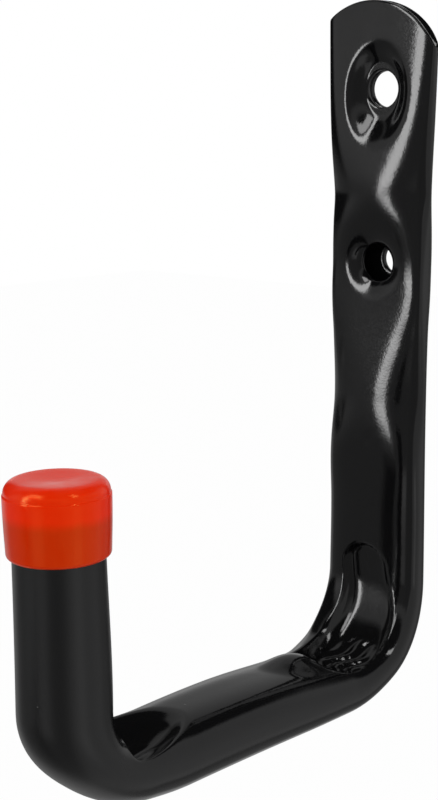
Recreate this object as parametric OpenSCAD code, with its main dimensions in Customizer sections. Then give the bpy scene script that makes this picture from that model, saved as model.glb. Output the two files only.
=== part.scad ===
// Utility hook for a garage wall. One length of steel tube is pressed flat where it
// screws to the wall, bent twice into a J and dipped in black vinyl, and a soft cap
// closes its free end. +Z is up, the wall is the plane y = 0 and the hook reaches
// towards -Y. The origin is on that plane, midway between the two screw holes.

/* [Tube] */
// Diameter of the round tube, coating included
tube_d = 20; // [19:0.5:24]
// Wall of the tube, coating included
tube_wall = 1.7; // [1.4:0.1:1.9]
// How much narrower the tube is at its rim, where the coating is thinnest
rim_thin = 0.8; // [0:0.1:1.2]

/* [Hook] */
// Height from the underside of the wall bend to the crown of the leg
leg_h = 173; // [170:0.1:220]
// Reach from the wall to the outside of the front bend
reach = 124.2; // [108:0.1:170]
// Straight stretch of the front leg between its bend and the cap
front_l = 32.9; // [20:0.1:70]
// Fall of the arm from the wall bend to the front bend, in degrees
arm_drop = 0.5; // [0:0.5:4]
// Lean of the front leg away from the wall, in degrees
front_lean = 1.1; // [0:0.1:8]
// Radius of the bend at the wall, on its outer side
wall_bend_r = 30.5; // [28:0.5:36]
// Radius of the bend at the front, on its outer side
front_bend_r = 26.5; // [26:0.5:34]

/* [Pressed leg] */
// Thickness of the leg at its crown
crown_t = 4.2; // [4:0.1:6]
// Thickness of the leg beside the upper hole
upper_t = 6; // [5:0.1:8]
// Thickness of the leg between its holes
between_t = 9.6; // [8:0.1:11]
// Thickness of the leg beside the lower hole
lower_t = 9.4; // [7.5:0.1:10]
// Thickness of the leg below its holes
leg_t = 10.6; // [9:0.1:13]
// Length below the lower hole over which the leg reaches that thickness
press_fade = 34; // [20:1:40]
// Width of the leg at its crown
crown_w = 31.6; // [28:0.1:34]
// Width of the leg beside the upper hole
upper_w = 30.4; // [28:0.1:34]
// Width of the leg beside the lower hole
lower_w = 27.3; // [26:0.1:32]
// Width of the leg below its holes
leg_w = 27; // [25:0.1:30]
// Radius of the arc that the crown is cut to
crown_r = 21; // [20:0.5:40]
// Offset of that arc from the middle of the leg
crown_shift = 3; // [0:0.5:4]
// Rounding of the cut edge round the crown
crown_edge = 0.6; // [0.3:0.1:0.9]

/* [Screw holes] */
// Diameter of both screw holes
hole_d = 9; // [6:0.1:10]
// Drop from the crown to the upper hole
hole_drop = 21.2; // [20:0.1:28]
// Distance between the two holes
hole_pitch = 42; // [36:0.5:50]
// Seam left between the two walls where they are pressed together
seam = 0.1; // [0.1:0.1:0.4]
// Width of the flat ring round the upper hole
upper_land = 0.8; // [0.4:0.1:1.5]
// Steepness of the bowl round the upper hole, as rise over run
upper_slope = 0.5; // [0.3:0.05:1]
// Depth of the punched lip round the lower hole
lip_depth = 1; // [0.8:0.1:2.5]
// Steepness of that lip, as rise over run
lip_slope = 0.7; // [0.5:0.05:1.4]
// Rounding where a bowl or a dent meets the tube
crest_round = 1.5; // [0.8:0.1:2.5]

/* [Crushed bends] */
// Thickness across the wall bend, over its two ridges
wall_bend_t = 12.5; // [10:0.1:14]
// Width of the wall bend
wall_bend_w = 28; // [25:0.1:30]
// Thickness of the arm
arm_t = 16.8; // [14:0.1:19]
// Width of the arm
arm_w = 23.6; // [20:0.1:26]
// Thickness across the front bend, over its two ridges
front_bend_t = 15; // [14:0.1:19]
// Depth to which the outer side of the wall bend is stretched flat
wall_flat = 0.5; // [0:0.1:1]
// Depth to which the outer side of the front bend is stretched flat
front_flat = 2.8; // [0:0.1:3.2]
// Width of the front bend
front_bend_w = 21.8; // [20:0.1:24]
// Depth of the dent inside the wall bend
wall_dent = 5.2; // [3:0.1:6]
// Reach of that dent up the leg
wall_dent_up = 46; // [30:1:55]
// Reach of that dent along the arm
wall_dent_down = 15; // [10:1:20]
// Half width of that dent
wall_dent_w = 8.4; // [7:0.1:11]
// Offset of that dent from the middle of the tube
wall_dent_side = 1.2; // [0:0.1:2]
// Height of the fold in front of that dent
fold_h = 2.3; // [0.5:0.1:2.5]
// Depth of the dent inside the front bend
front_dent = 6.5; // [3:0.1:7]
// Reach of that dent along the arm
front_dent_back = 24; // [16:1:30]
// Reach of that dent up the front leg
front_dent_up = 14; // [8:1:20]
// Half width of that dent
front_dent_w = 14; // [7:0.5:16]
// Offset of that dent from the middle of the tube
front_dent_side = 3; // [0:0.1:4]
// Depth of the pocket in the middle of that dent
pocket_depth = 8.4; // [7:0.1:9]
// Half length of the pocket
pocket_l = 9; // [6:0.5:12]
// Half width of the pocket
pocket_w = 6; // [4:0.5:8]

/* [Cap] */
// Length of the cap
cap_l = 16; // [13:0.5:24]
// Wall of the cap at its shoulder, where it is thickest
cap_wall = 1.45; // [0.8:0.05:2]
// Narrowing of the cap's side from the shoulder to the rim, on the radius
cap_taper = 0.35; // [0:0.05:0.6]
// Length of tube inside the cap
cap_grip = 9; // [7:0.5:11]
// Clearance of the cap round the tube, on the radius
cap_clearance = 0.05; // [0.03:0.01:0.2]
// Thickness of the cap's closed end
cap_end_t = 2; // [1.2:0.1:3]
// Height of the slanted shoulder
cap_shoulder_h = 2.9; // [2:0.1:4]
// Inset of the flat top from the widest diameter, on the radius
cap_shoulder_w = 1.3; // [1:0.1:2.5]
// Rounding of the shoulder
cap_round = 0.8; // [0.4:0.1:1.2]
// Rounding of the edge round the flat top
cap_edge_r = 1.2; // [0.6:0.1:1.6]
// Radius of the rim that turns in round the tube
cap_rim_r = 1; // [0.5:0.1:1.1]
// Depth of the dish in the flat top
cap_dish = 0.35; // [0.05:0.05:0.8]

/* [Hidden] */

tube_color = "#1b1b1c";
cap_color = "#e03a10";
// Run of a cut past the face that it leaves by
overrun = 1;

// Place of the thickest point between the holes, as a share of their distance from the lower one
between_share = 0.42;
// Place of each dent's deepest point, as a share of its bend's radius from the end of the arm
wall_dent_share = 0.33;
front_dent_share = 0.35;
pocket_share = 0.42;
// Place where the front bend is flattest on its outer side, as a share of the bend's length
flat_share = 0.42;
// Place of the fold's crest, as a share of the dent's reach along the arm
fold_share = 0.65;
// Width left just below the lower hole, as a share of what the leg narrows by there
neck_share = 0.67;

// The outer line of the tube, measured along it from the crown of the leg
crown_z = hole_drop + hole_pitch / 2;
wall_turn = 90 - arm_drop;
full_turn = 180 - front_lean;
arm_l = reach - wall_bend_r - front_bend_r;
bend_1 = leg_h - wall_bend_r;
arm_1 = bend_1 + wall_bend_r * wall_turn * PI / 180;
bend_2 = arm_1 + arm_l;
front_1 = bend_2 + front_bend_r * (full_turn - wall_turn) * PI / 180;
rim_s = front_1 + front_l;
tube_end = rim_s + cap_grip;
upper_s = hole_drop;
lower_s = hole_drop + hole_pitch;
between_s = lower_s - between_share * hole_pitch;
leg_s = lower_s + press_fade;

rim_d = tube_d - rim_thin;
cap_bore_d = rim_d + 2 * cap_clearance;

// Walls that touch each other under the upper hole
stack_t = 2 * tube_wall + seam;

// Facets in a full turn of the cap's rounded edges
arc_sides = 24;
// Facets round the tube, and the widest steps between its rings
sides = 40;
fine_step = tube_d / 6.5;
long_step = tube_d / 3;

// Directions at a turn of a degrees: to the inside of the J, and along the tube
function inward(a) = [0, -cos(a), sin(a)];
function along(a) = [0, -sin(a), -cos(a)];
function swing(p, r, a, b) = p + r * (inward(a) - inward(b));

bend_1_p = [0, 0, crown_z - bend_1];
arm_1_p = swing(bend_1_p, wall_bend_r, 0, wall_turn);
bend_2_p = arm_1_p + arm_l * along(wall_turn);
front_1_p = swing(bend_2_p, front_bend_r, wall_turn, full_turn);

// Turn of the outer line at the length s, in degrees
function turn(s) =
    s < bend_1 ? 0 :
    s < arm_1 ? (s - bend_1) / wall_bend_r * 180 / PI :
    s < bend_2 ? wall_turn :
    s < front_1 ? wall_turn + (s - bend_2) / front_bend_r * 180 / PI :
    full_turn;

// Point of the outer line at the length s
function line_point(s) =
    s < bend_1 ? bend_1_p + (s - bend_1) * along(0) :
    s < arm_1 ? swing(bend_1_p, wall_bend_r, 0, turn(s)) :
    s < bend_2 ? arm_1_p + (s - arm_1) * along(wall_turn) :
    s < front_1 ? swing(bend_2_p, front_bend_r, wall_turn, turn(s)) :
    front_1_p + (s - front_1) * along(full_turn);

// Smooth curve through the pairs of a table, level at both ends
function slope_at(table, i) =
    i == 0 || i == len(table) - 1 ? 0 :
    (table[i + 1][1] - table[i - 1][1]) / (table[i + 1][0] - table[i - 1][0]);
function span_of(table, s) =
    max([0, for (i = [1 : len(table) - 2]) if (s > table[i][0]) i]);
function curve(table, s) =
    let (i = span_of(table, s),
         a = table[i],
         b = table[i + 1],
         run = b[0] - a[0],
         u = min(max((s - a[0]) / run, 0), 1),
         v = 1 - u)
    a[1] * (1 + 2 * u) * v * v + b[1] * (3 - 2 * u) * u * u
    + run * u * v * (slope_at(table, i) * v - slope_at(table, i + 1) * u);

// Lower of two heights, with the corner between them rounded over the width k
function soft_min(a, b, k) = min(a, b) - pow(max(k - abs(a - b), 0), 2) / (4 * k);

// Thickness of the tube from its outer line inwards
thickness_table = [
    [0, crown_t],
    [upper_s, upper_t],
    [between_s, between_t],
    [lower_s, lower_t],
    [leg_s, leg_t],
    [bend_1, leg_t],
    [(bend_1 + arm_1) / 2, wall_bend_t],
    [arm_1, (wall_bend_t + arm_t) / 2],
    [(arm_1 + bend_2) / 2, arm_t],
    [bend_2, arm_t],
    [(bend_2 + front_1) / 2, front_bend_t],
    [front_1, tube_d],
    [rim_s, rim_d],
    [tube_end, rim_d]
];
function thickness(s) = curve(thickness_table, s);

// Smooth rise from 0 at a to 1 at b
function rise(s, a, b) = let (u = min(max((s - a) / (b - a), 0), 1)) u * u * (3 - 2 * u);

// Gap between the tube and its outer line. The pressed part of the leg keeps the middle of
// the tube, both bends are stretched flat on their outer side, and the rim is narrower
flattest_1 = (bend_1 + 3 * arm_1) / 4;
flattest_2 = bend_2 + flat_share * (front_1 - bend_2);
function back_gap(s) =
    s < leg_s ? (leg_t - thickness(s)) / 2 :
    wall_flat * rise(s, (bend_1 + arm_1) / 2, flattest_1)
    * rise(-s, -arm_1 - wall_bend_r / 2, -flattest_1)
    + front_flat * rise(s, bend_2 - front_bend_r / 2, flattest_2) * rise(-s, -front_1, -flattest_2)
    + rim_thin / 2 * rise(s, front_1, rim_s);

// Width of the tube, which a press or a bend makes wider where it is thinner
width_table = [
    [0, crown_w],
    [upper_s, upper_w],
    [lower_s, lower_w],
    [lower_s + hole_d, leg_w + neck_share * (lower_w - leg_w)],
    [lower_s + 2 * hole_d, leg_w],
    [bend_1, leg_w],
    [(bend_1 + arm_1) / 2, wall_bend_w],
    [(arm_1 + bend_2) / 2, arm_w],
    [(bend_2 + front_1) / 2, front_bend_w],
    [front_1, tube_d],
    [rim_s, rim_d],
    [tube_end, rim_d]
];
function width(s) = curve(width_table, s);

// The section is a circle, an oval or a flat with round edges, as the power of its outline grows
power_table = [
    [0, 2.7],
    [upper_s, 2.4],
    [between_s, 1.9],
    [lower_s, 3.4],
    [(lower_s + leg_s) / 2, 2.4],
    [leg_s, 2.1],
    [bend_1, 2.3],
    [arm_1, 2.2],
    [front_1, 2],
    [tube_end, 2]
];
function power(s) = curve(power_table, s);
function oval(a, p) = pow(pow(abs(cos(a)), p) + pow(abs(sin(a)), p), -1 / p);

// Rise of a bowl at the distance r from a hole, with a flat ring of the radius land
function bowl_rise(r, land, slope) =
    let (run = max(r - land, 0)) slope * run * run / (run + crest_round);

// Rise of a dent's floor from its deepest point, 1 at the edge of the dent
function dent_rise(x, s, middle, before, after, half_w) =
    pow((s - middle) / (s < middle ? before : after), 2) + pow(x / half_w, 2);

// The wall bend's dent has a flatter floor and a steeper edge, as the power of its rise grows
wall_dent_power = 1.8;

// Height that presses and bends leave to the inner side of the tube
function front_limit(x, s, t) =
    let (upper = (t + stack_t) / 2
             + bowl_rise(norm([x, s - upper_s]), hole_d / 2 + upper_land, upper_slope),
         lower = t - lip_depth
             + bowl_rise(norm([x, s - lower_s]), hole_d / 2, lip_slope),
         wall_rise = dent_rise(x - wall_dent_side, s, arm_1 - wall_dent_share * wall_bend_r,
                               wall_dent_up, wall_dent_down, wall_dent_w),
         front_rise = dent_rise(x - front_dent_side, s, bend_2 + front_dent_share * front_bend_r,
                                front_dent_back, front_dent_up, front_dent_w),
         pocket_rise = dent_rise(x, s, bend_2 + pocket_share * front_bend_r,
                                 pocket_l, pocket_l, pocket_w))
    min(upper, lower,
        t - wall_dent + wall_dent * pow(wall_rise, wall_dent_power),
        t - front_dent + front_dent * front_rise,
        t - pocket_depth + (pocket_depth - front_dent) * pocket_rise);

// Height to which the press lifts the back of the leg round the upper hole
function back_limit(x, s, t) =
    (t - stack_t) / 2 - bowl_rise(norm([x, s - upper_s]), hole_d / 2 + upper_land, upper_slope);

// Metal that the wall bend pushes up in front of its dent
function fold_rise(x, s) =
    let (crest = fold_share * wall_dent_down,
         r = norm([(s - arm_1 - crest) / crest, x / wall_dent_w]))
    r < 1 ? fold_h * pow(1 - r * r, 2) : 0;

// Drop of the crown's cut at x, faded out above the upper hole
function crown_drop(x) = crown_r - sqrt(crown_r * crown_r - pow(x + crown_shift, 2));
function crown_fade(s) = max(1 - s / (upper_s - hole_d / 2), 0);

// Rounding of the cut edge at the crown
function edge_inset(s) =
    s >= crown_edge ? 0 : crown_edge - sqrt(crown_edge * crown_edge - pow(crown_edge - s, 2));

// Point of the tube's skin at the length s and the angle a, set in by the depth inset
function skin_point(s, a, inset) =
    let (q = s + crown_drop(width(s) / 2 * oval(a, power(s)) * cos(a)) * crown_fade(s),
         t = thickness(q),
         r = oval(a, power(q)),
         x = (width(q) / 2 - inset) * r * cos(a),
         h = t / 2 + (t / 2 - inset) * r * sin(a),
         pressed = sin(a) > 0 ?
             soft_min(h, front_limit(x, q, t) - inset, crest_round) + fold_rise(x, q) :
             -soft_min(-h, -back_limit(x, q, t) - inset, crest_round))
    line_point(q) + [x, 0, 0] + (back_gap(q) + pressed) * inward(turn(q));

function ring(s, inset) = [for (i = [0 : sides - 1]) skin_point(s, 360 * i / sides, inset)];

// Even steps from a up to b, without b itself
function steps(a, b, step) =
    let (n = ceil((b - a) / step)) [for (i = [0 : n - 1]) a + (b - a) * i / n];

// Lengths at which the skin has a ring
outer_stops = concat(
    [0, crown_edge / 4, crown_edge],
    steps(upper_s / 4, lower_s + press_fade, fine_step),
    steps(lower_s + press_fade, bend_1 - wall_dent_up / 2, long_step),
    steps(bend_1 - wall_dent_up / 2, arm_1 + wall_dent_down, fine_step),
    steps(arm_1 + wall_dent_down, bend_2 - front_dent_back / 4, long_step),
    steps(bend_2 - front_dent_back / 4, front_1, fine_step),
    steps(front_1, tube_end, long_step),
    [tube_end]);
inner_stops = concat(
    steps(0, lower_s + press_fade, 3 * fine_step),
    steps(lower_s + press_fade, bend_1 - wall_dent_up / 2, 2 * long_step),
    steps(bend_1 - wall_dent_up / 2, arm_1 + wall_dent_down, 2 * fine_step),
    steps(arm_1 + wall_dent_down, bend_2 - front_dent_back / 4, 2 * long_step),
    steps(bend_2 - front_dent_back / 4, front_1, 2 * fine_step),
    [front_1, tube_end]);

// The skin runs down the outside of the tube and back up its inside
module tube_skin() {
    outside = [for (s = outer_stops) ring(s, edge_inset(s))];
    inside = [for (i = [len(inner_stops) - 1 : -1 : 0]) ring(inner_stops[i], tube_wall)];
    rings = concat(outside, inside);
    points = [for (r = rings) each r];
    faces = [
        for (j = [0 : len(rings) - 1], i = [0 : sides - 1])
            let (k = (j + 1) % len(rings),
                 a = j * sides + i,
                 b = j * sides + (i + 1) % sides,
                 c = k * sides + (i + 1) % sides,
                 d = k * sides + i)
            each [[a, c, b], [a, d, c]]
    ];
    polyhedron(points, faces);
}

// A bar of the diameter d through the leg at the length s, from the wall towards the room
module leg_bar(s, d, from, to) {
    translate([0, -from, crown_z - s]) rotate([90, 0, 0]) cylinder(h = to - from, d = d, $fn = 64);
}

module hook_tube() {
    color(tube_color)
    difference() {
        tube_skin();
        for (s = [upper_s, lower_s]) leg_bar(s, hole_d, -overrun, leg_t + overrun);
    }
}

// Points of an arc about c, from the angle a to the angle b
function arc(c, r, a, b) =
    let (n = ceil((b - a) * arc_sides / 360))
    [for (i = [0 : n]) c + r * [cos(a + (b - a) * i / n), sin(a + (b - a) * i / n)]];

// Half section of the cap's outside, with its axis upright and its rim at height zero
module cap_outline() {
    shoulder_r = cap_bore_d / 2 + cap_wall;
    rim_side_r = shoulder_r - cap_taper;
    top_r = shoulder_r - cap_shoulder_w;
    polygon(concat(
        [[0, 0]],
        arc([rim_side_r - cap_rim_r, cap_rim_r], cap_rim_r, -90, 0),
        arc([shoulder_r - cap_round, cap_l - cap_shoulder_h - cap_round], cap_round, 0, 45),
        arc([top_r - cap_edge_r, cap_l - cap_edge_r], cap_edge_r, 30, 90),
        [[top_r / 2, cap_l - cap_dish], [0, cap_l - cap_dish]]));
}

module end_cap() {
    color(cap_color)
    translate(line_point(rim_s) + tube_d / 2 * inward(full_turn))
    rotate([front_lean, 0, 0])
    difference() {
        rotate_extrude($fn = 96) cap_outline();
        translate([0, 0, -overrun])
            cylinder(h = overrun + cap_l - cap_dish - cap_end_t, d = cap_bore_d, $fn = 96);
    }
}

hook_tube();
end_cap();
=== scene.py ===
# A garage utility hook: one steel tube, pressed, bent and dipped in black vinyl, with a soft orange cap.
# Lengths are in millimetres until a mesh is made. A length along the tube starts at the crown of the leg.
import math

import bmesh
import bpy
import numpy as np
from mathutils import Matrix, Vector


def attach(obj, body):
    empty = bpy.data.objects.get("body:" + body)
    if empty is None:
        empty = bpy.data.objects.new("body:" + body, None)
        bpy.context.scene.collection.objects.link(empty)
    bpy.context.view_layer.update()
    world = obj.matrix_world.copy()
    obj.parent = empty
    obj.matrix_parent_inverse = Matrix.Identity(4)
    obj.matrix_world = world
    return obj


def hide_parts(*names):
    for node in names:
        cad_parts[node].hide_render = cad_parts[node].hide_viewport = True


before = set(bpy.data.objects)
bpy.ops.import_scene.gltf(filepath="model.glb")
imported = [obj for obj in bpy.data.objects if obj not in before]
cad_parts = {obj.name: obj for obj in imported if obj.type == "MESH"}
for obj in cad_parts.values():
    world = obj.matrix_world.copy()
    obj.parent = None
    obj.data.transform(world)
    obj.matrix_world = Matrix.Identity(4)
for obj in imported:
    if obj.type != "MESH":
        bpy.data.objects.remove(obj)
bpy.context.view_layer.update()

MM = 0.001

# Tube
tube_d = 20
tube_wall = 1.7
rim_thin = 0.8

# Hook
leg_h = 173
reach = 124.2
front_l = 32.9
arm_drop = 0.5
front_lean = 1.1
wall_bend_r = 30.5
front_bend_r = 26.5

# Pressed leg
crown_t = 4.2
upper_t = 6
between_t = 9.6
lower_t = 9.4
leg_t = 10.6
press_fade = 34
crown_w = 31.6
upper_w = 30.4
lower_w = 27.3
leg_w = 27
crown_r = 21
crown_shift = 3
crown_edge = 0.6
between_share = 0.42
neck_share = 0.67
seam = 0.1
crest_round = 1.5

# Screw holes, with the rounding of their lips and the smaller mouths in the back
hole_d = 9
hole_drop = 21.2
hole_pitch = 42
rim_round = 0.45
inner_rim_round = 0.3
lower_rim_round = 1.8
lower_rim_share = 0.55
upper_back_hole_r = 4.3
lower_back_hole_r = 3.5
lower_back_hole_side = 1.9
lower_back_hole_up = 0.6

# Bowl that the press leaves round the upper hole, on the front and on the back
bowl_stretch_share = 0.74
bowl_sink = 1.2
bowl_land = 0.2
bowl_slope = 0.9
bowl_crest = 1.3
back_bowl_land = 0.8
back_bowl_slope = 0.5

# Sunk lip round the lower hole, and the waist that the press leaves beside it
lip_depth = 1
lip_slope = 0.7
waist_depth = 1.5
waist_down_share = 0.1
waist_fade = 12

# Bends and the arm between them
wall_bend_t = 12.5
wall_bend_w = 28
arm_t = 16.8
arm_w = 23.6
front_bend_t = 15
front_bend_w = 21.8
wall_flat = 0.5
front_flat = 2.8
flat_share = 0.42

# Dent inside the wall bend: an arch that grows wider and deeper, with a fold in front of it
wall_dent = 5.2
wall_dent_share = 0.33
wall_dent_up = 46
wall_dent_down = 15
wall_dent_w = 8.4
arch_lead = 1.5
arch_entry = 2.5
arch_round = 4
arch_depth = 1.9
arch_depth_power = 1.5
arch_top_w = 6.4
arch_foot_w = 9.6
arch_widen_share = 0.8
arch_top_side = -0.6
arch_foot_side = 1.9
arch_drift_share = 0.5
arch_wall_power = 6
arch_crest = 0.9
fold_h = 2.3
fold_share = 0.65

# Dent inside the front bend, with a pocket in it
front_dent = 6.5
front_dent_share = 0.35
front_dent_back = 24
front_dent_up = 14
front_dent_w = 14
front_dent_side = 3
pocket_depth = 8
pocket_slope = 2.7
pocket_share = 0.2
pocket_l = 11
pocket_w = 6.5
pocket_side = 3

# Cap
cap_l = 16
cap_wall = 1.45
cap_taper = 0.35
cap_grip = 9
cap_clearance = 0.05
cap_end_t = 2
cap_rim_r = 1
cap_dish = 0.35
cap_top_round = 2.7
cap_line_step = 0.22
cap_line_turn = 70
cap_bore_round = 0.35

# Lengths along the tube's outer line
crown_z = hole_drop + hole_pitch / 2
wall_turn = 90 - arm_drop
full_turn = 180 - front_lean
arm_l = reach - wall_bend_r - front_bend_r
bend_1 = leg_h - wall_bend_r
arm_1 = bend_1 + wall_bend_r * math.radians(wall_turn)
bend_2 = arm_1 + arm_l
front_1 = bend_2 + front_bend_r * math.radians(full_turn - wall_turn)
rim_s = front_1 + front_l
tube_end = rim_s + cap_grip
upper_s = hole_drop
lower_s = hole_drop + hole_pitch
leg_s = lower_s + press_fade
between_s = lower_s - between_share * hole_pitch
wall_bend_middle = (bend_1 + arm_1) / 2
arm_middle = (arm_1 + bend_2) / 2
front_bend_middle = (bend_2 + front_1) / 2
flattest_1 = (bend_1 + 3 * arm_1) / 4
flattest_2 = bend_2 + flat_share * (front_1 - bend_2)

# Both walls of the tube where the press closes it, and the tube under the cap
stack_t = 2 * tube_wall + seam
rim_d = tube_d - rim_thin


def inward(turn):
    """Direction to the inside of the J at a turn in degrees."""
    angle = np.radians(turn)
    return np.stack([np.zeros_like(angle), -np.cos(angle), np.sin(angle)], -1)


def along(turn):
    """Direction along the tube at a turn in degrees."""
    angle = np.radians(turn)
    return np.stack([np.zeros_like(angle), -np.sin(angle), -np.cos(angle)], -1)


def swing(point, radius, turn, start):
    """Where a point ends up when the outer line bends from one turn to another."""
    return point + radius * (inward(start) - inward(turn))


bend_1_p = np.array([0.0, 0.0, crown_z - bend_1])
arm_1_p = swing(bend_1_p, wall_bend_r, wall_turn, 0.0)
bend_2_p = arm_1_p + arm_l * along(wall_turn)
front_1_p = swing(bend_2_p, front_bend_r, full_turn, wall_turn)


def turn_at(length):
    """Turn of the outer line at a length, in degrees."""
    first = np.degrees(np.clip(length - bend_1, 0, arm_1 - bend_1) / wall_bend_r)
    second = np.degrees(np.clip(length - bend_2, 0, front_1 - bend_2) / front_bend_r)
    return first + second


def line_point(length):
    """Point of the outer line at a length."""
    turn = turn_at(length)
    column = length[..., None]
    leg = bend_1_p + (column - bend_1) * along(np.zeros_like(length))
    wall_bend = swing(bend_1_p, wall_bend_r, turn, np.zeros_like(length))
    arm = arm_1_p + (column - arm_1) * along(np.full_like(length, wall_turn))
    front_bend = swing(bend_2_p, front_bend_r, turn, np.full_like(length, wall_turn))
    front = front_1_p + (column - front_1) * along(np.full_like(length, full_turn))
    point = np.where(column < bend_1, leg, wall_bend)
    point = np.where(column < arm_1, point, arm)
    point = np.where(column < bend_2, point, front_bend)
    return np.where(column < front_1, point, front)


def curve(table, length):
    """Smooth curve through the pairs of a table, level at both ends."""
    at = np.array([pair[0] for pair in table], float)
    value = np.array([pair[1] for pair in table], float)
    slope = np.zeros(len(table))
    slope[1:-1] = (value[2:] - value[:-2]) / (at[2:] - at[:-2])
    i = np.clip(np.searchsorted(at, length, side="left") - 1, 0, len(table) - 2)
    run = at[i + 1] - at[i]
    u = np.clip((length - at[i]) / run, 0, 1)
    v = 1 - u
    ends = value[i] * (1 + 2 * u) * v * v + value[i + 1] * (3 - 2 * u) * u * u
    return ends + run * u * v * (slope[i] * v - slope[i + 1] * u)


def soft_min(first, second, blend):
    """Lower of two heights, with the corner between them rounded over a width."""
    return np.minimum(first, second) - np.maximum(blend - np.abs(first - second), 0) ** 2 / (4 * blend)


def smooth(value, low, high):
    """Eased rise from 0 to 1 while the value goes from low to high."""
    u = np.clip((value - low) / (high - low), 0, 1)
    return u * u * (3 - 2 * u)


# Section of the tube: pairs of a length and the thickness or width there
thickness_table = (
    (0, crown_t),
    (upper_s, upper_t),
    (between_s, between_t),
    (lower_s, lower_t),
    (leg_s, leg_t),
    (bend_1, leg_t),
    (wall_bend_middle, wall_bend_t),
    (arm_1, (wall_bend_t + arm_t) / 2),
    (arm_middle, arm_t),
    (bend_2, arm_t),
    (front_bend_middle, front_bend_t),
    (front_1, tube_d),
    (rim_s, rim_d),
    (tube_end, rim_d),
)
width_table = (
    (0, crown_w),
    (upper_s, upper_w),
    (lower_s, lower_w),
    (lower_s + hole_d, leg_w + neck_share * (lower_w - leg_w)),
    (lower_s + 2 * hole_d, leg_w),
    (bend_1, leg_w),
    (wall_bend_middle, wall_bend_w),
    (arm_middle, arm_w),
    (front_bend_middle, front_bend_w),
    (front_1, tube_d),
    (rim_s, rim_d),
    (tube_end, rim_d),
)

# Power of the oval: 2 is an ellipse, and more makes the face flatter. The back has its own
back_power_table = (
    (0, 2.7),
    (upper_s, 2.4),
    (between_s, 1.9),
    (lower_s, 3.4),
    ((lower_s + leg_s) / 2, 2.4),
    (leg_s, 2.1),
    (bend_1, 2.3),
    (arm_1, 2.2),
    (front_1, 2),
    (tube_end, 2),
)
front_power_table = (
    (0, 4.7),
    (upper_s, 4.6),
    (between_s, 1.9),
    (lower_s - hole_d, 3.0),
    (lower_s, 5.2),
    (lower_s + 0.2 * press_fade, 6.5),
    (lower_s + 0.55 * press_fade, 3.3),
    (leg_s, 2.1),
    (leg_s + 0.45 * press_fade, 3.6),
    (bend_1 - 0.55 * press_fade, 3.2),
    (bend_1, 3.3),
    (arm_1, 2.4),
    (arm_middle, 3.0),
    (front_1, 2),
    (tube_end, 2),
)

# Rounding of the crest where a press or a dent meets the tube
crest_table = (
    (0, bowl_crest),
    (between_s - crest_round, bowl_crest),
    (between_s + crest_round, crest_round),
    (leg_s, crest_round),
    (bend_1 - wall_dent_up / 2, arch_crest),
    (tube_end, arch_crest),
)


def thickness(length):
    """Thickness of the pressed tube, from the wall towards the room."""
    return curve(thickness_table, length)


def width(length):
    """Width of the pressed tube, across the leg."""
    return curve(width_table, length)


def power(length, front):
    """Power of the oval on the front or the back of the tube."""
    return np.where(front, curve(front_power_table, length), curve(back_power_table, length))


def waist(length):
    """Depth to which the press pulls the front face in beside the lower hole."""
    lowest = lower_s + waist_down_share * hole_pitch
    entering = smooth(length, between_s - hole_d / 2, lowest)
    return waist_depth * entering * smooth(-length, -leg_s - waist_fade, -lowest)


def back_gap(length):
    """How far the outer side of the tube stands in from its outer line."""
    wall_side = smooth(length, wall_bend_middle, flattest_1)
    wall_side = wall_side * smooth(-length, -arm_1 - wall_bend_r / 2, -flattest_1)
    front_side = smooth(length, bend_2 - front_bend_r / 2, flattest_2)
    front_side = front_side * smooth(-length, -front_1, -flattest_2)
    thinned = rim_thin / 2 * smooth(length, front_1, rim_s)
    bent = wall_flat * wall_side + front_flat * front_side + thinned
    return np.where(length < leg_s, (leg_t - thickness(length)) / 2, bent)


def oval(angle, bend):
    """Distance to the edge of a unit oval of a power, in the direction of an angle."""
    return (np.abs(np.cos(angle)) ** bend + np.abs(np.sin(angle)) ** bend) ** (-1 / bend)


def bowl_rise(far, land, slope):
    """Rise of a bowl's side, flat up to its land and then eased to a straight slope."""
    run = np.maximum(far - land, 0)
    return slope * run * run / (run + crest_round)


def dent_rise(x, length, middle, before, after, half_w):
    """0 in the middle of a dent and 1 at its edge."""
    return ((length - middle) / np.where(length < middle, before, after)) ** 2 + (x / half_w) ** 2


def arch_limit(x, length, thick):
    """Dent inside the wall bend: an arch with a steep top, a flat floor and steep sides."""
    deepest = arm_1 - wall_dent_share * wall_bend_r
    top = deepest - wall_dent_up
    down = np.clip((length - top) / (deepest - top), 0, 1)
    middle = arch_top_side + (arch_foot_side - arch_top_side) * smooth(down, 0, arch_drift_share)
    half_w = arch_top_w + (arch_foot_w - arch_top_w) * smooth(down, 0, arch_widen_share)
    off = np.abs(x - middle) / half_w
    depth = arch_depth + (wall_dent - arch_depth) * down**arch_depth_power
    depth = depth * (1 - (np.maximum(length - deepest, 0) / wall_dent_down) ** 2)
    edge = length - arch_round * np.minimum(off, 1.5) ** 2
    entered = smooth(edge, top - arch_lead, top - arch_lead + arch_entry)
    rise = crest_round * 2 * (1 - entered)
    return thick + rise - depth * entered + np.abs(depth) * entered * off**arch_wall_power


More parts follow.
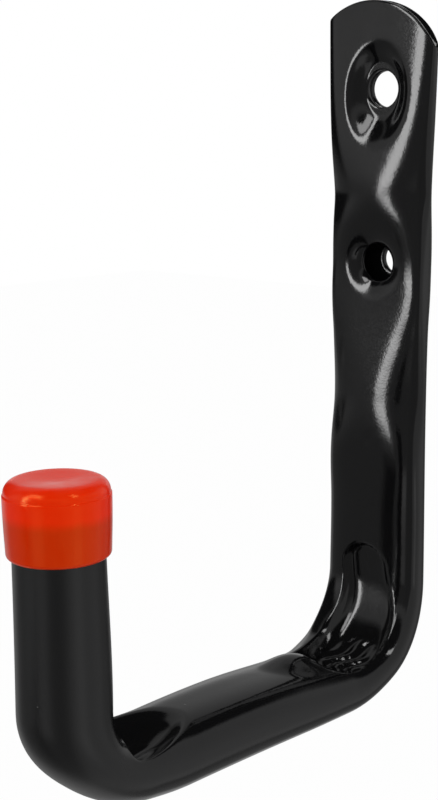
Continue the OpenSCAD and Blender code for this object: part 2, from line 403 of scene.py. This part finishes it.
def front_limit(x, length, thick):
    """Height that presses and bends leave to the inner side of the tube."""
    upper_far = np.hypot(x, bowl_stretch_share * (length - upper_s))
    upper = (thick + stack_t) / 2 - bowl_sink + bowl_rise(upper_far, hole_d / 2 + bowl_land, bowl_slope)
    lower_far = np.hypot(x, length - lower_s)
    lower = thick - waist(length) - lip_depth + bowl_rise(lower_far, hole_d / 2, lip_slope)
    dent_middle = bend_2 + front_dent_share * front_bend_r
    front_rise = dent_rise(
        x - front_dent_side, length, dent_middle, front_dent_back, front_dent_up, front_dent_w
    )
    pocket_middle = bend_2 + pocket_share * front_bend_r
    pocket_rise = dent_rise(x - pocket_side, length, pocket_middle, pocket_l, pocket_l, pocket_w)
    return np.minimum.reduce([
        upper,
        lower,
        arch_limit(x, length, thick),
        thick - front_dent + front_dent * front_rise,
        thick - pocket_depth + pocket_slope * pocket_rise,
    ])


def back_limit(x, length, thick):
    """Height to which the press lifts the back of the leg round the upper hole."""
    rise = bowl_rise(np.hypot(x, length - upper_s), hole_d / 2 + back_bowl_land, back_bowl_slope)
    return (thick - stack_t) / 2 - bowl_sink - rise


def fold_rise(x, length):
    """Metal that the wall bend pushes up in front of its dent."""
    crest = fold_share * wall_dent_down
    off = np.hypot((length - arm_1 - crest) / crest, x / wall_dent_w)
    return np.where(off < 1, fold_h * np.maximum(1 - off * off, 0) ** 2, 0)


# Small dings in the front face: x, height on the leg, half width, half height and depth
dings = (
    (0.5, -64.8, 1.0, 2.0, 0.15),
    (-9.2, -44.5, 1.1, 5.0, 0.16),
    (-9.4, -61.0, 1.2, 4.5, 0.15),
)
# Creases where the metal was crushed: x, length, half width, half length, depth, wave and slant
creases = (
    (2.5, arm_1 - 14, 9.0, 13.0, 0.32, 4.6, 0.5),
    (2.0, arm_1 - 9, 8.0, 9.0, 0.22, 2.7, -1.1),
    (3.5, bend_2 + 4, 7.0, 10.0, 0.40, 4.2, 0.6),
    (3.0, bend_2 + 6, 6.0, 8.0, 0.25, 2.6, -0.7),
)
crease_sway = 1.3
crease_sway_share = 0.37


def wear(x, length):
    """Height of dings and creases on the inner side of the tube."""
    height = np.zeros_like(x)
    for at_x, at_z, half_w, half_h, depth in dings:
        off = np.hypot((x - at_x) / half_w, (length - (crown_z - at_z)) / half_h)
        height = height - depth * np.maximum(1 - off * off, 0) ** 2
    for at_x, at_length, half_w, half_l, depth, wave, slant in creases:
        past = length - at_length
        off = np.hypot((x - at_x) / half_w, past / half_l)
        turn = 2 * np.pi / wave
        sway = crease_sway * np.sin(turn * crease_sway_share * past)
        ripple = np.sin(turn * (x - at_x + slant * past) + sway)
        height = height + depth * ripple * np.maximum(1 - off * off, 0)
    return height


def crown_drop(x):
    """How far the crown's arc lies below its highest point."""
    return crown_r - np.sqrt(crown_r * crown_r - (x + crown_shift) ** 2)


def crown_fade(length):
    """Share of the crown's arc that a ring of the mesh follows."""
    return np.maximum(1 - length / (upper_s - hole_d / 2), 0)


def pressed(x, length, height, inset, front):
    """Height of the skin once presses and bends have worked it."""
    thick = thickness(length)
    inner = soft_min(height, front_limit(x, length, thick) - inset, curve(crest_table, length))
    inner = inner + fold_rise(x, length) + wear(x, length)
    outer = -soft_min(-height, -back_limit(x, length, thick) - inset, crest_round)
    return np.where(front, inner, outer)


def place(x, length, height):
    """Point at x across the tube, a length along it and a height inwards."""
    shift = (back_gap(length) + height)[..., None] * inward(turn_at(length))
    across = np.stack([x, np.zeros_like(x), np.zeros_like(x)], -1)
    return line_point(length) + across + shift


def skin_spot(stop, angle, inset):
    """x, length and height of the skin at a stop of the mesh and an angle in radians."""
    front = np.sin(angle) > 0
    x = width(stop) / 2 * oval(angle, power(stop, front)) * np.cos(angle)
    length = stop + crown_drop(x) * crown_fade(stop)
    thick = thickness(length)
    out = oval(angle, power(length, front))
    x = (width(length) / 2 - inset) * out * np.cos(angle)
    bulge = (thick / 2 - inset - np.where(front, waist(length), 0)) * out * np.sin(angle)
    return x, length, pressed(x, length, thick / 2 + bulge, inset, front)


def skin_height(x, length, inset, front):
    """Height of the skin at x and a length, away from the tube's two edges."""
    thick = thickness(length)
    bend = power(length, front)
    share = np.clip(np.abs(x) / (width(length) / 2 - inset), 0, 1)
    half = thick / 2 - inset - (waist(length) if front else 0)
    bulge = half * (1 - share**bend) ** (1 / bend)
    return pressed(x, length, thick / 2 + (bulge if front else -bulge), inset, front)


# Mesh of the tube: rings round it at each stop, with a window in the grid at each punched hole
sides = 160
window_reach = 8.4
window_stops = 28
window_sides = 16
window_step = 2 * window_reach / window_stops
window_crowding = 1.7
outer_rings = 20
inner_rings = 10
fine = 0.7
coarse = 1.8
front_bend_trim = 2
weld_distance = 1e-7


def stretch(start, end, step):
    """An even number of stops from start up to end, about a step apart."""
    count = 2 * math.ceil((end - start) / step / 2)
    return [start + (end - start) * i / count for i in range(count)]


dent_start = bend_1 - wall_dent_up / 2
fold_end = arm_1 + 1.5 * wall_dent_down
stops = np.array(
    [0.0, crown_edge * 0.1, crown_edge * 0.3, crown_edge * 0.6]
    + stretch(crown_edge, upper_s - window_reach, fine)
    + stretch(upper_s - window_reach, upper_s + window_reach, window_step)
    + stretch(upper_s + window_reach, lower_s - window_reach, fine)
    + stretch(lower_s - window_reach, lower_s + window_reach, window_step)
    + stretch(lower_s + window_reach, leg_s, fine)
    + stretch(leg_s, dent_start, coarse)
    + stretch(dent_start, fold_end, fine)
    + stretch(fold_end, bend_2 - front_dent_back, coarse)
    + stretch(bend_2 - front_dent_back, front_1 - front_bend_trim, fine)
    + stretch(front_1 - front_bend_trim, tube_end, coarse)
    + [tube_end, tube_end]
)

# Mouths of the holes: the hole, whether it is in the front, its x, length and radius, and its lip's
# rounding with the share of it that is used
mouths = (
    (upper_s, True, (0, upper_s, hole_d / 2), (rim_round, 1)),
    (upper_s, False, (0, upper_s, upper_back_hole_r), (rim_round, 1)),
    (lower_s, True, (0, lower_s, hole_d / 2), (lower_rim_round, lower_rim_share)),
    (
        lower_s, False,
        (lower_back_hole_side, lower_s - lower_back_hole_up, lower_back_hole_r),
        (rim_round, 1),
    ),
)


class Skin:
    """Vertices and faces of one mesh as they are added."""

    def __init__(self):
        self.points = []
        self.faces = []
        self.count = 0

    def add(self, points):
        """Adds points and returns their numbers in the same layout."""
        flat = points.reshape(-1, 3)
        first = self.count
        self.points.append(flat)
        self.count += len(flat)
        return np.arange(first, self.count).reshape(points.shape[:-1])

    def strip(self, rings):
        """Quads between consecutive closed rings of vertices."""
        for ring, following in zip(rings[:-1], rings[1:]):
            for i in range(len(ring)):
                k = (i + 1) % len(ring)
                self.faces.append((ring[i], ring[k], following[k], following[i]))

    def halve(self, ring, sparse):
        """Joins a closed ring to one with half as many vertices."""
        for i in range(len(sparse)):
            k = (i + 1) % len(sparse)
            middle = ring[2 * i + 1]
            self.faces.append((ring[2 * i], middle, sparse[i]))
            self.faces.append((middle, sparse[k], sparse[i]))
            self.faces.append((middle, ring[(2 * i + 2) % len(ring)], sparse[k]))

    def grid(self, ids, boxes):
        """Quads between the rings of the whole tube, but for the windows round the holes."""
        rows, columns = ids.shape
        for i in range(rows - 1):
            for j in range(columns):
                inside = any(box[0] <= i < box[1] and box[2] <= j < box[3] for box in boxes)
                if not inside:
                    k = (j + 1) % columns
                    self.faces.append((ids[i, j], ids[i, k], ids[i + 1, k], ids[i + 1, j]))

    def mesh(self, name):
        """Blender mesh of all that was added, in metres."""
        made = bpy.data.meshes.new(name)
        made.from_pydata((np.concatenate(self.points) * MM).tolist(), [], self.faces)
        made.update()
        return made


def window(middle_stop, middle_side, step):
    """First and last stop and side of the gap in a grid round a hole."""
    half_stops = window_stops // 2 // step
    half_sides = window_sides // step
    return (
        middle_stop - half_stops, middle_stop + half_stops,
        middle_side - half_sides, middle_side + half_sides,
    )


def window_edge(box):
    """Grid places round a window, in order."""
    first_row, last_row, first_column, last_column = box
    top = [(first_row, j) for j in range(first_column, last_column)]
    right = [(i, last_column) for i in range(first_row, last_row)]
    bottom = [(last_row, j) for j in range(last_column, first_column, -1)]
    left = [(i, first_column) for i in range(last_row, first_row, -1)]
    return top + right + bottom + left


def hole_side(skin, ids, spots, box, mouth, inset, front, lip, rings):
    """Polar patch from a window to a hole's mouth. Returns the numbers of its last ring."""
    mouth_x, mouth_length, mouth_r = mouth
    lip_round, lip_share = lip
    edge = np.array(window_edge(box))
    rows, columns = edge[:, 0], edge[:, 1]
    edge_x, edge_length = spots[0][rows, columns], spots[1][rows, columns]
    far = np.hypot(edge_x - mouth_x, edge_length - mouth_length)
    cos, sin = (edge_x - mouth_x) / far, (edge_length - mouth_length) / far
    sense = 1 if front == (inset == 0) else -1
    patch = [ids[rows, columns]]
    for n in range(1, rings + 1):
        near = 1 - (1 - n / rings) ** window_crowding
        radius = far + (mouth_r - far) * near
        x, length = mouth_x + radius * cos, mouth_length + radius * sin
        height = skin_height(x, length, inset, front)
        depth = np.clip(lip_round - (radius - mouth_r), 0, lip_round)
        drop = lip_share * (lip_round - np.sqrt(lip_round**2 - depth**2))
        patch.append(skin.add(place(x, length, height - sense * drop)))
    skin.strip(patch)
    return patch[-1]


def tube_mesh():
    """Closed skin of the tube: outside, inside, the walls of four mouths and both ends."""
    skin = Skin()
    turns = np.radians(360 * np.arange(sides) / sides)
    stop, angle = np.meshgrid(stops, turns, indexing="ij")
    round_in = np.clip(crown_edge - stop, 0, crown_edge)
    inset = crown_edge - np.sqrt(crown_edge**2 - round_in**2)
    outer = skin_spot(stop, angle, inset)
    inner = tuple(part[::2, ::2] for part in skin_spot(stop, angle, np.full_like(stop, tube_wall)))
    outer_ids = skin.add(place(*outer))
    inner_ids = skin.add(place(*inner))
    outer_boxes = []
    inner_boxes = []
    for hole_s, front, mouth, lip in mouths:
        row = int(np.argmin(np.abs(stops - hole_s)))
        column = sides // 4 if front else 3 * sides // 4
        outer_box = window(row, column, 1)
        inner_box = window(row // 2, column // 2, 2)
        rim = hole_side(skin, outer_ids, outer, outer_box, mouth, 0, front, lip, outer_rings)
        inner_lip = (inner_rim_round, 1)
        lining = hole_side(
            skin, inner_ids, inner, inner_box, mouth, tube_wall, front, inner_lip, inner_rings
        )
        skin.halve(rim, lining)
        outer_boxes.append(outer_box)
        inner_boxes.append(inner_box)
    skin.grid(outer_ids, outer_boxes)
    skin.grid(inner_ids, inner_boxes)
    skin.halve(outer_ids[0], inner_ids[0])
    skin.halve(outer_ids[-1], inner_ids[-1])
    return skin.mesh("hook_skin")


def make_piece(name, mesh, replaced):
    """Object for a mesh that stands for a CAD node, with outward normals and smooth shading."""
    work = bmesh.new()
    work.from_mesh(mesh)
    bmesh.ops.remove_doubles(work, verts=work.verts, dist=weld_distance)
    bmesh.ops.recalc_face_normals(work, faces=work.faces)
    work.to_mesh(mesh)
    work.free()
    mesh.shade_smooth()
    piece = bpy.data.objects.new(name, mesh)
    bpy.context.scene.collection.objects.link(piece)
    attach(piece, "root")
    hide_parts(replaced)
    return piece


tube = make_piece("coated_tube", tube_mesh(), "hook_tube")

# Mesh of the cap: an outline of radius and height above the rim, turned round the front leg
cap_sides = 192
cap_rows = 24


def arc(centre, radius, start, end, count):
    """Points of an arc from one angle to another, in degrees."""
    angles = np.radians(np.linspace(start, end, count))
    return [(centre[0] + radius * math.cos(t), centre[1] + radius * math.sin(t)) for t in angles]


def cap_outline():
    """Half section: down the bore, round the rim, up the side and over the dished top."""
    bore_r = rim_d / 2 + cap_clearance
    side_r = bore_r + cap_wall
    rim_r = side_r - cap_taper
    line_r = side_r - cap_line_step
    end_z = cap_l - cap_dish - cap_end_t
    line_z = cap_l - cap_top_round
    side_z = line_z - 2 * cap_line_step
    flat_r = line_r - cap_top_round
    outline = [(0.0, end_z), (bore_r * 0.5, end_z), (bore_r - cap_bore_round, end_z)]
    outline += arc((bore_r - cap_bore_round, end_z - cap_bore_round), cap_bore_round, 90, 0, 6)[1:]
    outline += [(bore_r, z) for z in np.linspace(end_z - 1, cap_bore_round, 10)]
    outline += arc((bore_r + cap_bore_round, cap_bore_round), cap_bore_round, 180, 270, 6)
    outline += arc((rim_r - cap_rim_r, cap_rim_r), cap_rim_r, -90, 0, 14)
    outline += [
        (rim_r + cap_taper * math.sin(math.pi / 2 * u), cap_rim_r + (side_z - cap_rim_r) * u)
        for u in np.linspace(0, 1, cap_rows)[1:]
    ]
    outline += arc((side_r - cap_line_step, side_z), cap_line_step, 0, cap_line_turn, 6)[1:]
    outline += arc((line_r - cap_top_round, line_z), cap_top_round, 0, 90, 26)
    outline += [
        (flat_r * (1 - u), cap_l - cap_dish * math.sin(math.pi / 2 * u) ** 2)
        for u in np.linspace(0, 1, cap_rows)[1:]
    ]
    return outline


def cap_mesh():
    """Skin of the cap, leaning with the front leg."""
    turns = 2 * np.pi * np.arange(cap_sides) / cap_sides
    rings = []
    for radius, z in cap_outline():
        rings.append(np.stack([radius * np.cos(turns), radius * np.sin(turns), np.full_like(turns, z)], -1))
    lean = Matrix.Rotation(math.radians(front_lean), 3, "X")
    base = line_point(np.array([rim_s]))[0] + tube_d / 2 * inward(full_turn)
    skin = Skin()
    skin.strip(list(skin.add(np.array(rings) @ np.array(lean).T + base)))
    return skin.mesh("cap_skin")


cap = make_piece("vinyl_cap", cap_mesh(), "end_cap")

# Coating: grains, depths and spreads
wave_grain = 5.0
wave_depth = 0.02
peel_grain = 0.55
peel_depth = 0.011
pimple_spread = 9.0
pimple_r = 0.35
pimple_share = 0.4
pimple_depth = 0.08

# Black vinyl: glossy, and satin on the front leg
black = (0.003, 0.003, 0.0033, 1)
gloss_roughness = 0.10
satin_roughness = 0.34
satin_start = reach - 30
satin_full = reach - 14
glossy_dent_r = 9
glossy_dent_fade = 17

# Orange vinyl: painted shade makes it darker where the tube's end lies inside it, standing in for the tube
# showing through
orange_shade_over_tube = (0.68, 0.025, 0.0, 1)
orange_clear = (0.95, 0.021, 0.0, 1)
orange_shine = (1.0, 0.62, 0.14, 1)
orange_glow = 0.15
orange_glow_spread = (1.0, 0.25, 0.08)
orange_glow_depth = 1.2
cap_wave_depth = 0.09
cap_peel_depth = 0.003
# Noise on the edge of the painted shade, and where that edge sits round the tube's end
cap_shade_edge_grain = 6.0
cap_shade_edge_h = 1.2
cap_split_up = 0.6
cap_split_below = 1.6
cap_split_above = 1.2
cap_haze_grain = 2.5
cap_haze = (0.16, 0.27)


def node(tree, kind, **values):
    """Adds a node and sets its properties."""
    made = tree.nodes.new(kind)
    for name, value in values.items():
        setattr(made, name, value)
    return made


def feed(tree, target, value):
    """Gives an input a number or the output of another node."""
    if isinstance(value, (int, float, tuple)):
        target.default_value = value
    else:
        tree.links.new(value, target)


def calculate(tree, operation, *values):
    """Result of a sum on numbers and outputs."""
    made = node(tree, "ShaderNodeMath", operation=operation)
    for target, value in zip(made.inputs, values):
        feed(tree, target, value)
    return made.outputs[0]


def choose(tree, kind, factor, first, second):
    """Mix of two numbers or colours by a factor."""
    made = node(tree, "ShaderNodeMix", data_type=kind)
    for name, value in (("Factor", factor), ("A", first), ("B", second)):
        feed(tree, made.inputs[name], value)
    return made.outputs["Result"]


def ramp(tree, value, low, high, start=0.0, end=1.0):
    """Smooth change from start to end while the value goes from low to high."""
    made = node(tree, "ShaderNodeMapRange", interpolation_type="SMOOTHSTEP")
    for name, number in (("From Min", low), ("From Max", high), ("To Min", start), ("To Max", end)):
        made.inputs[name].default_value = number
    feed(tree, made.inputs["Value"], value)
    return made.outputs["Result"]


def noise(tree, where, grain, detail=1.0):
    """Noise of a grain, from 0 to 1."""
    made = node(tree, "ShaderNodeTexNoise")
    made.inputs["Scale"].default_value = 1 / (grain * MM)
    made.inputs["Detail"].default_value = detail
    tree.links.new(where, made.inputs["Vector"])
    return made.outputs["Fac"]


def dipped_skin():
    """Group for vinyl that set as it dripped: slow waves, a fine orange peel and rare pimples."""
    group = bpy.data.node_groups.new("dipped_skin", "ShaderNodeTree")
    inputs = (("Wave Depth", wave_depth), ("Peel Depth", peel_depth), ("Pimple Depth", pimple_depth))
    for name, depth in inputs:
        socket = group.interface.new_socket(name, in_out="INPUT", socket_type="NodeSocketFloat")
        socket.default_value = depth * MM
    group.interface.new_socket("Normal", in_out="OUTPUT", socket_type="NodeSocketVector")
    group.interface.new_socket("Grain", in_out="OUTPUT", socket_type="NodeSocketFloat")
    given = node(group, "NodeGroupInput")
    where = node(group, "ShaderNodeTexCoord").outputs["Object"]
    peel = noise(group, where, peel_grain, 1.5)
    cells = node(group, "ShaderNodeTexVoronoi")
    cells.inputs["Scale"].default_value = 1 / (pimple_spread * MM)
    group.links.new(where, cells.inputs["Vector"])
    spot = ramp(group, cells.outputs["Distance"], 0, pimple_r / pimple_spread, 1, 0)
    chance = node(group, "ShaderNodeSeparateColor")
    group.links.new(cells.outputs["Color"], chance.inputs[0])
    kept = calculate(group, "LESS_THAN", chance.outputs[0], pimple_share)
    pimple = calculate(group, "MULTIPLY", spot, kept)
    normal = None
    for height, (name, depth) in zip((noise(group, where, wave_grain), peel, pimple), inputs):
        bump = node(group, "ShaderNodeBump")
        group.links.new(given.outputs[name], bump.inputs["Distance"])
        group.links.new(height, bump.inputs["Height"])
        if normal:
            group.links.new(normal, bump.inputs["Normal"])
        normal = bump.outputs["Normal"]
    out = node(group, "NodeGroupOutput")
    group.links.new(normal, out.inputs["Normal"])
    group.links.new(peel, out.inputs["Grain"])
    return group


def new_material(name):
    """A material with its node tree and its shader."""
    material = bpy.data.materials.new(name)
    material.use_nodes = True
    return material, material.node_tree, material.node_tree.nodes["Principled BSDF"]


def black_vinyl(skin):
    """Dip coating, glossy or satin as the mesh is marked, and uneven with its grain."""
    material, tree, shader = new_material("black_vinyl")
    coat = node(tree, "ShaderNodeGroup", node_tree=skin)
    satin = node(tree, "ShaderNodeAttribute", attribute_name="satin").outputs["Fac"]
    glossy = ramp(tree, coat.outputs["Grain"], 0.3, 0.7, gloss_roughness * 0.8, gloss_roughness * 1.25)
    roughness = choose(tree, "FLOAT", satin, glossy, satin_roughness)
    shader.inputs["Base Color"].default_value = black
    tree.links.new(roughness, shader.inputs["Roughness"])
    tree.links.new(coat.outputs["Normal"], shader.inputs["Normal"])
    return material


def orange_vinyl(skin):
    """Slightly see-through vinyl: painted shade on the lower part of the cap stands in for the end of the
    tube seen through it.
    """
    material, tree, shader = new_material("orange_vinyl")
    coat = node(tree, "ShaderNodeGroup", node_tree=skin)
    coat.inputs["Wave Depth"].default_value = cap_wave_depth * MM
    coat.inputs["Peel Depth"].default_value = cap_peel_depth * MM
    coat.inputs["Pimple Depth"].default_value = 0.0
    where = node(tree, "ShaderNodeTexCoord").outputs["Object"]
    split = node(tree, "ShaderNodeSeparateXYZ")
    tree.links.new(where, split.inputs[0])
    # Painted shade: the colour turns darker below the tube's end, along a noisy edge
    uneven = calculate(tree, "MULTIPLY", noise(tree, where, cap_shade_edge_grain), cap_shade_edge_h * MM)
    level = calculate(tree, "ADD", split.outputs["Z"], uneven)
    end_z = (line_point(np.array([tube_end]))[0][2] + cap_split_up) * MM
    above_tube = ramp(tree, level, end_z - cap_split_below * MM, end_z + cap_split_above * MM)
    colour = choose(tree, "RGBA", above_tube, orange_shade_over_tube, orange_clear)
    roughness = ramp(tree, noise(tree, where, cap_haze_grain, 2.0), 0.3, 0.7, *cap_haze)
    tree.links.new(colour, shader.inputs["Base Color"])
    tree.links.new(roughness, shader.inputs["Roughness"])
    tree.links.new(coat.outputs["Normal"], shader.inputs["Normal"])
    shader.inputs["Specular Tint"].default_value = orange_shine
    shader.inputs["Subsurface Weight"].default_value = orange_glow
    shader.inputs["Subsurface Radius"].default_value = orange_glow_spread
    shader.inputs["Subsurface Scale"].default_value = orange_glow_depth * MM
    return material


def mark_satin(piece):
    """The front leg is satin, apart from the crushed inside of its bend."""
    points = np.zeros(3 * len(piece.data.vertices))
    piece.data.vertices.foreach_get("co", points)
    points = points.reshape(-1, 3) / MM
    dent_length = np.array([bend_2 + front_dent_share * front_bend_r])
    dent = place(np.zeros(1), dent_length, np.full(1, arm_t))[0]
    far = np.linalg.norm(points - dent, axis=1)
    satin = smooth(-points[:, 1], satin_start, satin_full) * smooth(far, glossy_dent_r, glossy_dent_fade)
    layer = piece.data.attributes.new("satin", "FLOAT", "POINT")
    layer.data.foreach_set("value", satin)


coating = dipped_skin()
mark_satin(tube)
tube.data.materials.append(black_vinyl(coating))
cap.data.materials.append(orange_vinyl(coating))

# The black coating shows no orange glare of the cap
cap.visible_glossy = False

# Camera, placed as the photograph was taken
view_az = math.radians(41.07)
view_el = math.radians(9.62)
view_roll = math.radians(-0.125)
view_distance = 360.3
view_target = np.array([0.0, -61.56, -43.06])
photo_h = 800
focal_px = 1612.9
centre_px = (12.9, -21.19)
sensor_h = 24


def add_camera():
    """Camera with the photograph's angle, distance, roll and shift."""
    back = np.array([
        math.sin(view_az) * math.cos(view_el),
        -math.cos(view_az) * math.cos(view_el),
        math.sin(view_el),
    ])
    level = np.array([math.cos(view_az), math.sin(view_az), 0.0])
    over = np.cross(level, -back)
    right = level * math.cos(view_roll) + over * math.sin(view_roll)
    up = -level * math.sin(view_roll) + over * math.cos(view_roll)
    data = bpy.data.cameras.new("view")
    data.sensor_fit = "VERTICAL"
    data.sensor_height = sensor_h
    data.lens = focal_px / photo_h * sensor_h
    data.shift_x = -centre_px[0] / photo_h
    data.shift_y = centre_px[1] / photo_h
    data.clip_start = 0.01
    camera = bpy.data.objects.new("view", data)
    turned = Matrix((right, up, back)).transposed().to_4x4()
    camera.matrix_world = Matrix.Translation(Vector((view_target + view_distance * back) * MM)) @ turned
    bpy.context.scene.collection.objects.link(camera)
    bpy.context.scene.camera = camera


add_camera()

# Studio: turns go about Z from -Y towards +X, and heights go up from level, both in degrees.
# The world grows paler from the low height to the high one, and then a little darker
low_height = -12
high_height = 8
low_level = 0.21
high_level = 0.66
dim_from = 4
dim_to = 24
dim_by = 0.15
diffuse_level = 0.8
background_level = 1.0

# What the skin mirrors: soft boxes and dark flags. Each gives its turns, its heights, how soft
# both edges are, and its level. A later one covers an earlier one
sky_patches = (
    (-200, 200, 34, 100, 5, 5, 0.03),
    (-165, -112, 12, 60, 6, 6, 0.36),
    (-130, -84, 38, 60, 5, 4, 0.42),
    (-16, 30, -90, 20, 4, 4, 0.22),
    (24, 56, -90, 20, 5, 5, 0.20),
    (62, 150, -90, 20, 6, 6, 0.50),
    (-118, -60, -5, 33, 5, 3, 0.02),
    (-160, -84, -90, -8, 6, 3, 0.45),
    (-31, -18, -90, -12.5, 1, 1, 0.01),
    (-8, 16, -34, -14, 4, 4, 0.70),
    (80, 100, -34, -14, 4, 4, 0.95),
    (-14, 8, 34, 56, 2, 2, 6.0),
    (84, 98, 34, 54, 2, 2, 6.0),
    (-30, -20, -5.9, 60, 1.2, 2.4, 9.0),
)

# Floor
floor_half = 3.0
floor_z = -0.45
floor_grey = 0.8
floor_roughness = 0.9
floor_glow_share = 0.97


def band(tree, value, start, end, soft):
    """1 while a value lies between start and end, with soft edges."""
    rise = ramp(tree, value, start - soft, start + soft)
    fall = ramp(tree, value, end - soft, end + soft)
    return calculate(tree, "SUBTRACT", rise, fall)


def build_world():
    """Soft light all round, with the patches for glossy rays and white behind the hook."""
    world = bpy.data.worlds.new("studio")
    bpy.context.scene.world = world
    world.use_nodes = True
    tree = world.node_tree
    tree.nodes.clear()
    where = node(tree, "ShaderNodeTexCoord")
    split = node(tree, "ShaderNodeSeparateXYZ")
    tree.links.new(where.outputs["Generated"], split.inputs[0])
    ahead = calculate(tree, "MULTIPLY", split.outputs["Y"], -1.0)
    turn = calculate(tree, "DEGREES", calculate(tree, "ARCTAN2", split.outputs["X"], ahead))
    height = calculate(tree, "DEGREES", calculate(tree, "ARCSINE", split.outputs["Z"]))
    paler = ramp(tree, height, low_height, high_height, low_level, high_level)
    level = calculate(tree, "SUBTRACT", paler, ramp(tree, height, dim_from, dim_to, 0.0, dim_by))
    for turn_from, turn_to, height_from, height_to, turn_soft, height_soft, patch_level in sky_patches:
        across = band(tree, turn, turn_from, turn_to, turn_soft)
        upright = band(tree, height, height_from, height_to, height_soft)
        mask = calculate(tree, "MULTIPLY", across, upright)
        level = choose(tree, "FLOAT", mask, level, patch_level)
    path = node(tree, "ShaderNodeLightPath")
    level = choose(tree, "FLOAT", path.outputs["Is Glossy Ray"], diffuse_level, level)
    level = choose(tree, "FLOAT", path.outputs["Is Camera Ray"], level, background_level)
    background = node(tree, "ShaderNodeBackground")
    background.inputs["Color"].default_value = (1, 1, 1, 1)
    tree.links.new(level, background.inputs["Strength"])
    output = node(tree, "ShaderNodeOutputWorld")
    tree.links.new(background.outputs[0], output.inputs[0])


def add_floor():
    """Plain pale floor: nearly white to the camera, shaded by the hook, and unseen in the coating."""
    mesh = bpy.data.meshes.new("floor")
    corners = [(-1, -1), (1, -1), (1, 1), (-1, 1)]
    mesh.from_pydata([(x * floor_half, y * floor_half, floor_z) for x, y in corners], [], [(0, 1, 2, 3)])
    floor = bpy.data.objects.new("floor", mesh)
    bpy.context.scene.collection.objects.link(floor)
    material, tree, shader = new_material("floor_white")
    shader.inputs["Base Color"].default_value = (floor_grey, floor_grey, floor_grey, 1)
    shader.inputs["Roughness"].default_value = floor_roughness
    glow = node(tree, "ShaderNodeEmission")
    clear = node(tree, "ShaderNodeBsdfTransparent")
    path = node(tree, "ShaderNodeLightPath")
    seen = node(tree, "ShaderNodeMixShader")
    glow_share = calculate(tree, "MULTIPLY", path.outputs["Is Camera Ray"], floor_glow_share)
    tree.links.new(glow_share, seen.inputs[0])
    tree.links.new(shader.outputs[0], seen.inputs[1])
    tree.links.new(glow.outputs[0], seen.inputs[2])
    mirrored = node(tree, "ShaderNodeMixShader")
    tree.links.new(path.outputs["Is Glossy Ray"], mirrored.inputs[0])
    tree.links.new(seen.outputs[0], mirrored.inputs[1])
    tree.links.new(clear.outputs[0], mirrored.inputs[2])
    tree.links.new(mirrored.outputs[0], tree.nodes["Material Output"].inputs["Surface"])
    mesh.materials.append(material)


build_world()
add_floor()
bpy.context.scene.view_settings.view_transform = "Standard"
